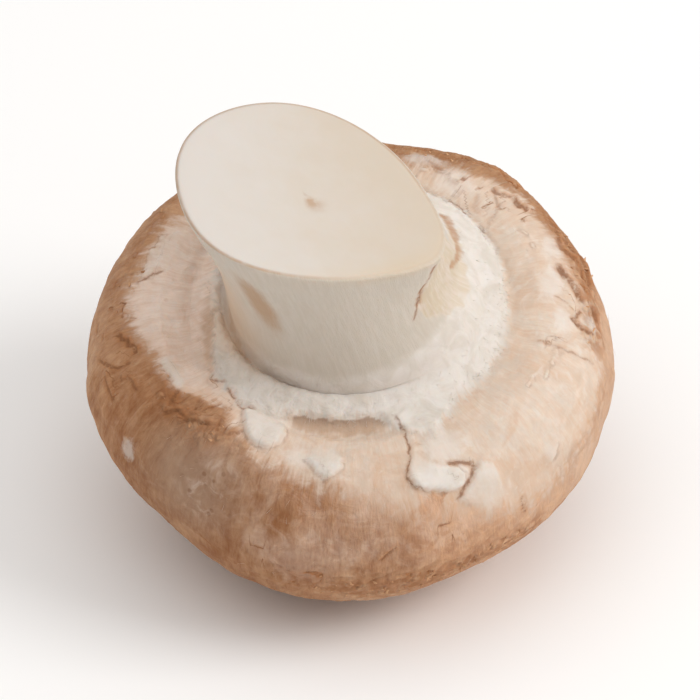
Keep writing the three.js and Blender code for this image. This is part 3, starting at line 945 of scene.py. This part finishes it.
def skin_paint():
    """The finish of the whole body: skin, bare flesh, veil, stem and cut."""
    tones = bpy.context.scene.mushroom_finish
    paint = Paint("mushroom_skin")
    place = paint.object_place()
    fibre = paint.vector("fibre")
    reach = paint.attribute("reach")
    mark = {name: paint.attribute(name) for name in (
        "brown", "brownness", "scuffed", "veil", "crack", "crack_side", "patch_edge_shadow", "white", "slit",
        "groove", "crease", "pale", "pink", "peeling", "peel", "shaggy", "under", "smudge", "scar",
        "streak", "pith", "bruise", "bruise_middle", "brown_spot", "warm_bounce", "past_cut",
        "film", "scaly", "shade", "rim", "cut_warm", "crack_thin", "flare",
        "yellow")}

    lengthwise = paint.stretched(fibre, (1.0, 1.0, 0.26))
    hair = paint.grain(lengthwise, 4.6, 3.0, 0.6)
    strand = paint.grain(lengthwise, 1.3, 3.0, 0.6, 0.5)
    blotch = paint.grain(place, 150.0, 3.0, 0.6, 0.6)
    mottle = paint.grain(place, 480.0, 4.0, 0.62, 0.8)
    speck = paint.grain(place, 2200.0, 2.0, 0.5)
    papery = paint.grain(place, 330.0, 4.0, 0.6, 2.6)

    # The bare flesh outside the veil, and the brown skin that it fades into.
    edge = mark["brown"] + (strand - 0.5) * 4.2 + (mottle - 0.5) * 5.0 + (blotch - 0.5) * 4.0
    brown = paint.step(edge, -2.0, 2.0) * mark["brownness"]
    tone = blotch * 0.7 + mottle * 0.5 + papery * 0.25 + strand * 0.6 + hair * 0.3 - 0.67
    skin = paint.blend(paint.step(tone, 0.12, 0.9), tones.skin_dark, tones.skin_light)
    # The brown skin darkened by painted shade at the back and low on the left, and lightened by painted
    # light low on the right.
    skin = paint.shade(skin, mark["shade"])
    scuff = paint.step(papery + (mark["scuffed"] - 0.5) * 0.12, 0.47, 0.64) * mark["scuffed"]
    skin = paint.blend(scuff * 0.16, skin, tones.bare_pink)
    cloudy = paint.step(blotch + (mark["scuffed"] - 0.5) * 0.3, 0.4, 0.68) * mark["scuffed"]
    skin = paint.blend(cloudy * 0.35, skin, tones.bare_pink)
    filmy = paint.step(mark["film"] + (papery - 0.5) * 0.9 + (strand - 0.5) * 0.5, 0.2, 1.0)
    skin = paint.blend(filmy * 0.18, skin, tones.bare_pink)
    skin = paint.blend(mark["bruise"] * 0.6, skin, tones.bruise_and_groove_shade)
    bruised = mark["bruise_middle"] * paint.step(mottle + (blotch - 0.5) * 0.6, 0.42, 0.66)
    skin = paint.blend(bruised * 0.42, skin, tones.bare_pink)
    dots = (1 - paint.step(paint.cells(place, 1000.0), 0.14, 0.3)) * mark["bruise_middle"]
    skin = paint.blend(dots * 0.6, skin, tones.crack_and_shadow_brown)
    brown = paint.step(brown + mark["brown_spot"] * paint.step(mottle, 0.35, 0.55) * 0.7, 0.0, 1.0)
    fuzz = paint.grain(place, 1300.0, 3.0, 0.7)
    # The left of the bare shoulder: its own pinkish hue, made lighter as painted light where the stem
    # shades it.
    bare = paint.blend(mark["pink"], tones.bare_warm, tones.bare_pink)
    bare = paint.shade(bare, paint.step(mottle * 0.6 + fuzz * 0.4, 0.3, 0.7, 0.9, 1.06))
    streaky = paint.step(strand * 0.6 + hair * 0.5 + fuzz * 0.3, 0.55, 0.9)
    bare = paint.blend(streaky * 0.3, bare, tones.skin_light)
    tint = paint.step(mark["brown"] + (blotch - 0.5) * 9.0, -5.5, 1.0) * 0.25
    bare = paint.blend(tint, bare, tones.skin_light)
    clouds = paint.step(paint.grain(place, 230.0, 3.0, 0.6, 1.0), 0.48, 0.68)
    bare = paint.blend(clouds * 0.3, bare, tones.skin_light)
    bare = paint.blend(paint.step(papery, 0.55, 0.72) * 0.35, bare, tones.veil_white)
    pits = (1 - paint.step(paint.cells(place, 620.0), 0.08, 0.2)) * paint.step(blotch, 0.5, 0.65)
    bare = paint.blend(pits * mark["pink"] * 0.4, bare, tones.dried_edge_and_shadow)
    colour = paint.blend(brown, bare, skin)

    # Small scales with light tips and dark gaps.
    scale = paint.cells(paint.warped(place, 700.0, 1.2 * MM), 950.0)
    gap = paint.step(scale, 0.34, 0.6) * mark["scaly"]
    colour = paint.blend(gap * 0.45, colour, tones.dried_edge_and_shadow)
    colour = paint.blend(paint.step(scale, 0.5, 0.7) * mark["scaly"] * 0.3, colour, tones.crack_and_shadow_brown)
    colour = paint.blend(paint.step(scale, 0.3, 0.08) * mark["scaly"] * 0.6, colour, tones.skin_light)

    # Where the skin peels it leaves pale flesh with a dark, dried edge. The shaggy ridges get painted light
    # on their tops and painted shadow under them.
    peel = mark["peel"] + (mottle - 0.5) * 0.22 + (speck - 0.5) * 0.08
    # Painted light on the raised tops of the shaggy ridges.
    colour = paint.blend(mark["shaggy"] * mark["brownness"] * 0.3, colour, tones.skin_light)
    # Painted shadow under the shaggy ridges.
    shadow = paint.step(mark["under"] + (fuzz - 0.5) * 0.5, 0.25, 0.8)
    colour = paint.blend(shadow * 0.5, colour, tones.dried_edge_and_shadow)
    lip = paint.step(peel, -0.34, -0.06) * mark["peeling"] * brown
    colour = paint.blend(lip * 0.4, colour, tones.dried_edge_and_shadow)
    hollow = paint.blend(mark["brownness"] * 0.7, tones.bare_warm, tones.skin_light)
    torn = paint.step(mark["peeling"], 0.02, 0.15)
    colour = paint.blend(paint.step(peel, 0.0, 0.06) * torn * brown * 0.85, colour, hollow)
    dried = paint.step(peel, -0.09, -0.01) * paint.step(peel, 0.12, 0.02) * torn * brown
    colour = paint.blend(dried * 0.7, colour, tones.dried_edge_and_shadow)

    # The white veil, and the torn pieces of it that lie over the cap.
    veil = paint.blend(paint.step(mottle, 0.35, 0.7) * 0.6, tones.veil_white, tones.stem_white)
    veiled = paint.step(mark["veil"] + (strand - 0.5) * 2.4 + (mottle - 0.5) * 1.8, -0.6, 0.4)
    colour = paint.blend(veiled, colour, veil)
    pale = paint.step(mark["pale"] + (mottle - 0.5) * 1.6 + (fuzz - 0.5) * 0.8, 0.2, 0.95)
    colour = paint.blend(pale * 0.5, colour, tones.veil_white)
    colour = paint.blend(mark["white"], colour, veil)
    # A painted shadow along the free edge of each raised piece.
    inside = mark["patch_edge_shadow"] + (speck - 0.5) * 0.2
    patch_edge_shadow = paint.step(inside, -0.5, -0.16) * paint.step(inside, -0.02, -0.12)
    colour = paint.blend(patch_edge_shadow * paint.step(mottle, 0.38, 0.66) * 0.36, colour, tones.crack_and_shadow_brown)

    # The stem.
    up_stem = paint.step(reach * -1.0 + (mottle - 0.5) * 1.0, 0.0, 1.6)
    ribbed = paint.step(strand * 0.8 + hair * 0.4, 0.45, 0.8)
    stem = paint.blend(ribbed * 0.25, tones.stem_white, tones.veil_white)
    colour = paint.blend(up_stem, colour, stem)

    # Bruises and dried places, painted warm bounce light on the left, painted shade in the groove, and
    # painted shadow of the veil in the slit.
    scar = paint.step(mark["scar"] + (strand - 0.5) * 0.7 + (mottle - 0.5) * 0.6, 0.2, 0.8)
    rubbed = paint.blend(paint.step(strand * 0.6 + mottle * 0.6, 0.5, 0.75), tones.ochre, tones.bare_warm)
    colour = paint.blend(scar * 0.6, colour, rubbed)
    streak = mark["streak"] + (strand - 0.5) * 0.9 + (mottle - 0.5) * 0.9
    colour = paint.blend(paint.step(streak, 0.2, 0.9) * 0.5, colour, tones.bruise_tan)
    colour = paint.blend(paint.step(streak, 0.6, 1.25) * 0.5, colour, tones.dried_edge_and_shadow)
    smudge = paint.step(mark["smudge"] + (blotch - 0.5) * 0.8 + (hair - 0.5) * 0.5, 0.25, 0.95)
    colour = paint.blend(smudge * 0.72, colour, tones.bruise_tan)
    # Painted warm bounce light in the shade on the left of the stem's foot.
    warm_bounced = mark["warm_bounce"] * paint.step(blotch, 0.2, 0.6, 0.6, 1.0)
    colour = paint.blend(warm_bounced * 0.7, colour, tones.warm_bounce_tint)
    # Painted shade in the groove round the foot of the stem.
    colour = paint.blend(mark["groove"] * 0.45, colour, tones.bruise_and_groove_shade)
    creased = paint.step(mark["crease"] + (mottle - 0.5) * 0.8 + (strand - 0.5) * 0.5, 0.15, 1.0)
    colour = paint.blend(creased * 0.55, colour, tones.bruise_tan)
    slit = paint.step(mark["slit"] + (strand - 0.5) * 0.5 + (mottle - 0.5) * 0.4, 0.15, 0.9)
    colour = paint.blend(slit * 0.5, colour, tones.bruise_tan)
    # Painted shadow of the veil's edge, darkening the top of the slit.
    colour = paint.blend(slit * paint.step(mark["veil"], -0.55, -0.1) * 0.25, colour, tones.crack_and_shadow_brown)
    wander = (mottle - 0.5) * 0.7 + (speck - 0.5) * 0.2
    aside = paint.size_of(mark["crack_side"] + wander) * mark["crack_thin"]
    broken = mark["crack"] * paint.step(fuzz * 0.7 + mottle * 0.5, 0.42, 0.66)
    cracked = paint.step(aside, 1.0, 0.25) * broken
    colour = paint.blend(paint.step(aside, 2.3, 0.5) * broken * 0.6, colour, tones.dried_edge_and_shadow)
    colour = paint.blend(cracked * 0.62, colour, tones.crack_and_shadow_brown)

    # The cut, with its thin dried rim and the mark of its pith.
    on_cut = paint.step(mark["past_cut"], 0.0, 0.15)
    cloud = paint.grain(place, 300.0, 3.0, 0.6)
    warmth = paint.step(mark["cut_warm"] + (cloud - 0.5) * 0.5, 0.0, 1.0)
    cut = paint.blend(warmth, tones.cut_cream, tones.cut_tan)
    pith = mark["pith"] * paint.step(mottle + speck * 0.4, 0.5, 0.75)
    cut = paint.blend(pith * 0.65, cut, tones.bruise_tan)
    colour = paint.blend(on_cut, colour, cut)
    colour = paint.blend(mark["yellow"] * 0.35, colour, tones.ochre)
    rim = paint.step(mark["past_cut"], -0.2, -0.06) * paint.step(mark["past_cut"], 0.42, 0.1)
    rim = rim * mark["rim"] * paint.step(mottle * 0.7 + blotch * 0.3, 0.3, 0.55, 0.4, 1.0)
    colour = paint.blend(rim * 0.6, colour, tones.bruise_tan)

    on_stem = up_stem * (1 - on_cut)
    flesh = 1 - up_stem
    cap_height = brown * ((hair - 0.5) * 0.10 + (strand - 0.5) * 0.14 + (mottle - 0.5) * 0.16)
    peel_height = paint.step(peel, -0.05, 0.06) * torn * brown * -0.14 + lip * 0.06
    veil_height = veiled * (mottle - 0.5) * 0.16 + (speck - 0.5) * 0.02
    plain = paint.step(mark["flare"], 0.0, 0.45, 1.0, 0.22)
    stem_height = on_stem * (hair - 0.5) * 0.05
    bare_height = (mottle - 0.5) * 0.2 + (fuzz - 0.5) * 0.1
    scale_height = mark["scaly"] * paint.step(scale, 0.6, 0.1) * 0.25
    height = cap_height + peel_height + scale_height + (veil_height + bare_height) * plain
    height = height * flesh + stem_height + cracked * -0.06
    return paint.finish(colour, paint.step(mottle, 0.3, 0.7, 0.66, 0.84), height, 0.22)


def flake_paint():
    """The finish of the curled flakes: brown on top, paler where they lift."""
    tones = bpy.context.scene.mushroom_finish
    paint = Paint("skin_flake")
    grain = paint.grain(paint.object_place(), 1500.0, 3.0, 0.6)
    tone = paint.attribute("tone") + (grain - 0.5) * 0.5
    skin = paint.blend(paint.step(tone, 0.15, 0.85), tones.skin_dark, tones.skin_light)
    tip = paint.step(paint.attribute("tip") + (grain - 0.5) * 0.5, 0.5, 0.95)
    colour = paint.blend(tip * 0.4, skin, tones.skin_light)
    return paint.finish(colour, 0.8, (grain - 0.5) * 0.08)


def fibre_paint(name, first, second):
    """The finish of loose fibres, each a little lighter or darker than the next."""
    paint = Paint(name)
    colour = paint.blend(paint.attribute("tone"), first, second)
    return paint.finish(colour, 0.85)


def floor_paint():
    """A matt pale surface with a faint unevenness."""
    tones = bpy.context.scene.mushroom_stage
    paint = Paint("pale_floor")
    cloud = paint.grain(paint.object_place(), 6.0, 2.0)
    grey = tuple(0.97 * part for part in tones.floor_colour)
    return paint.finish(paint.blend(cloud, tones.floor_colour, grey), 0.9)


def add_piece(name, bm, material, rides=True):
    """Makes an object of a finished bmesh and hangs it on the body that it moves with."""
    mesh = bpy.data.meshes.new(name)
    bm.to_mesh(mesh)
    bm.free()
    mesh.materials.append(material)
    for face in mesh.polygons:
        face.use_smooth = True
    piece = bpy.data.objects.new(name, mesh)
    bpy.context.scene.collection.objects.link(piece)
    if rides:
        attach(piece, "root")
    return piece


def wrap_sheet(form):
    """A sheet with a column for each meridian, wrapped round the axis and closed at its poles."""
    stations = form.stations()
    bm = bmesh.new()
    station, angle = (bm.verts.layers.float.new(name) for name in ("station", "angle"))
    bmesh.ops.create_grid(bm, x_segments=MERIDIANS, y_segments=len(stations) - 1, size=0.5)
    turns = np.arange(MERIDIANS) * 360 / MERIDIANS
    points = [form.points(stretch, share, turns) for stretch, share in stations]
    for vert in bm.verts:
        row = round((vert.co.y + 0.5) * (len(stations) - 1))
        column = round((vert.co.x + 0.5) * MERIDIANS) % MERIDIANS
        vert[station], vert[angle] = row, turns[column]
        vert.co = points[row][column]
    bmesh.ops.remove_doubles(bm, verts=bm.verts, dist=1e-4)
    bmesh.ops.recalc_face_normals(bm, faces=bm.faces)
    bm.normal_update()
    return bm


def smooth_rows(bm, rows, middle, span, rounds):
    """Smooths the rows of the body that lie within a span of a middle one."""
    chosen = [v for v, row in zip(bm.verts, rows) if span[0] <= row - middle <= span[1]]
    for _ in range(rounds):
        bmesh.ops.smooth_vert(
            bm, verts=chosen, factor=0.5, use_axis_x=True, use_axis_y=True, use_axis_z=True)


class MUSHROOM_OT_body(bpy.types.Operator):
    """Build the mushroom's body, with its relief and its finish"""
    bl_idname = "mushroom.body"
    bl_label = "Mushroom body"

    def execute(self, context):
        form = Form(context.scene.mushroom_sizes)
        bm = wrap_sheet(form)
        layers = bm.verts.layers.float
        rows = np.array([round(v[layers["station"]]) for v in bm.verts])
        angle = np.array([v[layers["angle"]] for v in bm.verts])
        point = np.array([v.co for v in bm.verts])
        reach = form.reaches()[rows]
        radius = np.maximum(1.0, np.hypot(point[:, 0], point[:, 1] - CROWN_SHIFT / 2))
        places = Places(angle, reach, radius, point, form.reaches()[EDGE])
        marks = marks_of(places)
        relief = relief_of(places, marks)
        marks["reach"] = reach
        for only_relief in ("rise", "depth", "lip"):
            marks.pop(only_relief)
        layers = {name: bm.verts.layers.float.new(name) for name in marks}
        fibre = bm.verts.layers.float_vector.new("fibre")
        turn = np.radians(angle)
        for index, vert in enumerate(bm.verts):
            for name, layer in layers.items():
                vert[layer] = marks[name][index]
            vert[fibre] = (form.cap * math.cos(turn[index]), form.cap * math.sin(turn[index]), reach[index])
            vert.co = form.lie @ (vert.co + vert.normal * relief[index])
        smooth_rows(bm, rows, EDGE, CUT_EDGE_ROWS, CUT_EDGE_ROUNDS)
        smooth_rows(bm, rows, FOOT, FOOT_ROWS, FOOT_ROUNDS)
        for vert in bm.verts:
            vert.co = (vert.co.x * MM, vert.co.y * MM, max(vert.co.z, 0) * MM)
        body = add_piece(BODY, bm, skin_paint())
        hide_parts(NODE)
        return {"FINISHED"}


def bent_sheet(bm, skin, at, size, turn, curl, lift, shape, layers, tone):
    """Adds a thin sheet that grows out of the skin and lifts or curls towards its free end."""
    made = bmesh.ops.create_grid(bm, x_segments=4, y_segments=3, size=0.5)["verts"]
    wide, long = size
    for vert in made:
        side, share = vert.co.x, vert.co.y + 0.5
        across = side * wide * shape(share)
        bend = curl * share
        along = long * (math.sin(bend) / curl if curl else share)
        raised = long * ((1 - math.cos(bend)) / curl if curl else 0)
        height = raised + lift * share ** 2 - FLAKE_ROOT * (1 - share)
        over = across * math.cos(turn) - along * math.sin(turn)
        down = across * math.sin(turn) + along * math.cos(turn)
        vert[layers["tone"]] = tone
        vert[layers["tip"]] = share
        vert.co = skin.over(*at, over, down, height)


class MUSHROOM_OT_flakes(bpy.types.Operator):
    """Scatter the small curled flakes over the torn bands of the skin"""
    bl_idname = "mushroom.flakes"
    bl_label = "Skin flakes"

    def execute(self, context):
        skin = Skin(bpy.data.objects[BODY])
        draw = random.Random(context.scene.mushroom_finish.seed)
        bm = bmesh.new()
        layers = {name: bm.verts.layers.float.new(name) for name in ("tone", "tip")}
        for band in FLAKE_BANDS:
            sweep = (band["to"] - band["from"]) % 360 or 360
            for _ in range(band["count"]):
                angle = band["from"] + sweep * draw.random()
                reach = band["inner"] + (band["outer"] - band["inner"]) * draw.random()
                long = band["size"] * draw.uniform(0.5, 1.4)
                wide = long * draw.uniform(0.3, 0.75)
                turn = draw.choice((-1, 1)) * draw.gauss(1.2, 0.5)
                curl = band["curl"] * draw.uniform(0.3, 1.2)
                round_off = draw.uniform(0.4, 1.0)
                bent_sheet(
                    bm, skin, (angle, reach), (wide, long), turn, curl, draw.uniform(0, 0.12),
                    lambda share: 1 - round_off * share ** 2, layers, draw.uniform(0.35, 1.0))
        bmesh.ops.recalc_face_normals(bm, faces=bm.faces)
        bmesh.ops.solidify(bm, geom=bm.faces[:], thickness=FLAKE_THICK * MM)
        for vert in bm.verts:
            vert.co.z = max(vert.co.z, 0)
        add_piece("skin_flakes", bm, flake_paint())
        return {"FINISHED"}


def needle(bm, start, direction, length, thickness, tone, layer):
    """Adds a three-sided fibre that tapers to a point."""
    turn = direction.to_track_quat("Z", "Y").to_matrix().to_4x4()
    place = Matrix.Translation(start + direction * length / 2) @ turn
    made = bmesh.ops.create_cone(
        bm, cap_ends=True, cap_tris=False, segments=3, radius1=thickness / 2, radius2=thickness / 10,
        depth=length, matrix=place)["verts"]
    for vert in made:
        vert[layer] = tone


class MUSHROOM_OT_tufts(bpy.types.Operator):
    """Grow the loose cottony fibres of the veil"""
    bl_idname = "mushroom.tufts"
    bl_label = "Veil fibres"

    def execute(self, context):
        tones = context.scene.mushroom_finish
        skin = Skin(bpy.data.objects[BODY])
        draw = random.Random(tones.seed + 1)
        bm = bmesh.new()
        layer = bm.verts.layers.float.new("tone")
        for _ in range(VEIL_FIBRES):
            angle = draw.uniform(0, 360)
            edge = float(by_angle(VEIL_EDGE, angle))
            reach = edge + draw.gauss(-0.3, 0.35) if draw.random() < 0.6 else draw.uniform(0.9, edge)
            start = skin.point(angle, reach)
            out = skin.out(angle, reach)
            away = (skin.point(angle + draw.gauss(0, 5), reach + 1.0) - start).normalized()
            direction = (away + out * draw.uniform(0.05, 0.7)).normalized()
            length = draw.uniform(0.25, 0.75) * MM
            needle(
                bm, start - out * 0.05 * MM, direction, length, VEIL_FIBRE_THICK * MM, draw.random(),
                layer)
        add_piece("veil_fibres", bm, fibre_paint("veil_fibre", tones.veil_white, tones.stem_white))
        return {"FINISHED"}


class MUSHROOM_OT_hairs(bpy.types.Operator):
    """Lay the fine fibres of the skin along the cap"""
    bl_idname = "mushroom.hairs"
    bl_label = "Skin fibres"

    def execute(self, context):
        tones = context.scene.mushroom_finish
        skin = Skin(bpy.data.objects[BODY])
        draw = random.Random(tones.seed + 2)
        bm = bmesh.new()
        layer = bm.verts.layers.float.new("tone")
        for _ in range(SKIN_FIBRES):
            angle = draw.uniform(0, 360)
            reach = float(by_angle(BROWN_EDGE, angle)) + draw.triangular(1.0, 16.0, 3.0)
            start = skin.point(angle, reach)
            out = skin.out(angle, reach)
            way = -1 if draw.random() < 0.7 else 1
            away = (skin.point(angle + draw.gauss(0, 2.5), reach + way) - start).normalized()
            direction = (away + out * draw.uniform(0.0, 0.28)).normalized()
            length = draw.uniform(0.4, 0.9) * MM
            needle(
                bm, start - out * 0.02 * MM, direction, length, SKIN_FIBRE_THICK * MM, draw.random(),
                layer)
        for vert in bm.verts:
            vert.co.z = max(vert.co.z, 0)
        add_piece("skin_fibres", bm, fibre_paint("skin_fibre", tones.skin_light, tones.bare_warm))
        return {"FINISHED"}


def add_light(name, power, size, place, target):
    """Adds a square soft box that faces a point."""
    light = bpy.data.lights.new(name, "AREA")
    light.energy, light.size = power, size
    lamp = bpy.data.objects.new(name, light)
    lamp.location = place
    lamp.rotation_euler = (Vector(target) - Vector(place)).to_track_quat("-Z", "Y").to_euler()
    bpy.context.scene.collection.objects.link(lamp)


class MUSHROOM_OT_stage(bpy.types.Operator):
    """Set the pale floor, the soft lights and the camera"""
    bl_idname = "mushroom.stage"
    bl_label = "Stage"

    def execute(self, context):
        stage = context.scene.mushroom_stage
        bm = bmesh.new()
        bmesh.ops.create_grid(bm, x_segments=1, y_segments=1, size=FLOOR_HALF)
        floor = add_piece("floor", bm, floor_paint(), rides=False)

        world = bpy.data.worlds.new("sky")
        world.use_nodes = True
        world.node_tree.nodes["Background"].inputs["Color"].default_value = (*stage.sky_colour, 1)
        world.node_tree.nodes["Background"].inputs["Strength"].default_value = stage.sky_strength
        context.scene.world = world
        context.scene.view_settings.view_transform = "Standard"

        low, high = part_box(NODE)
        aim = Vector((0, AIM_BEHIND, (low.z + high.z) * AIM_SHARE))
        add_light("top", stage.top_power, TOP_LIGHT["size"], TOP_LIGHT["place"], aim)
        add_light("key", stage.key_power, KEY_LIGHT["size"], KEY_LIGHT["place"], aim)

        rise, away = math.sin(stage.camera_elevation), math.cos(stage.camera_elevation)
        camera = bpy.data.objects.new("camera", bpy.data.cameras.new("camera"))
        camera.location = aim + stage.camera_distance * Vector((0, -away, rise))
        camera.rotation_euler = (aim - camera.location).to_track_quat("-Z", "Y").to_euler()
        camera.data.lens = stage.camera_lens
        context.scene.collection.objects.link(camera)
        context.scene.camera = camera
        return {"FINISHED"}


class MUSHROOM_PT_panel(bpy.types.Panel):
    """The mushroom's sizes, colours and pieces"""
    bl_idname = "MUSHROOM_PT_panel"
    bl_label = "Button mushroom"
    bl_space_type = "VIEW_3D"
    bl_region_type = "UI"
    bl_category = "Mushroom"

    def draw(self, context):
        scene = context.scene
        for group in (scene.mushroom_sizes, scene.mushroom_finish, scene.mushroom_stage):
            box = self.layout.box()
            for name in group.__annotations__:
                box.prop(group, name)
        for operator in OPERATORS:
            self.layout.operator(operator.bl_idname)


GROUPS = {
    "mushroom_sizes": MushroomSizes,
    "mushroom_finish": MushroomFinish,
    "mushroom_stage": MushroomStage,
}
OPERATORS = (
    MUSHROOM_OT_stage, MUSHROOM_OT_body, MUSHROOM_OT_flakes, MUSHROOM_OT_tufts, MUSHROOM_OT_hairs,
)


def register():
    for kind in (*GROUPS.values(), *OPERATORS, MUSHROOM_PT_panel):
        bpy.utils.register_class(kind)
    for name, group in GROUPS.items():
        setattr(bpy.types.Scene, name, PointerProperty(type=group))


def unregister():
    for name in GROUPS:
        delattr(bpy.types.Scene, name)
    for kind in reversed((*GROUPS.values(), *OPERATORS, MUSHROOM_PT_panel)):
        bpy.utils.unregister_class(kind)


def main():
    register()
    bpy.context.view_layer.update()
    bpy.ops.mushroom.stage()
    bpy.ops.mushroom.body()
    bpy.ops.mushroom.flakes()
    bpy.ops.mushroom.tufts()
    bpy.ops.mushroom.hairs()


if __name__ == "__main__":
    main()
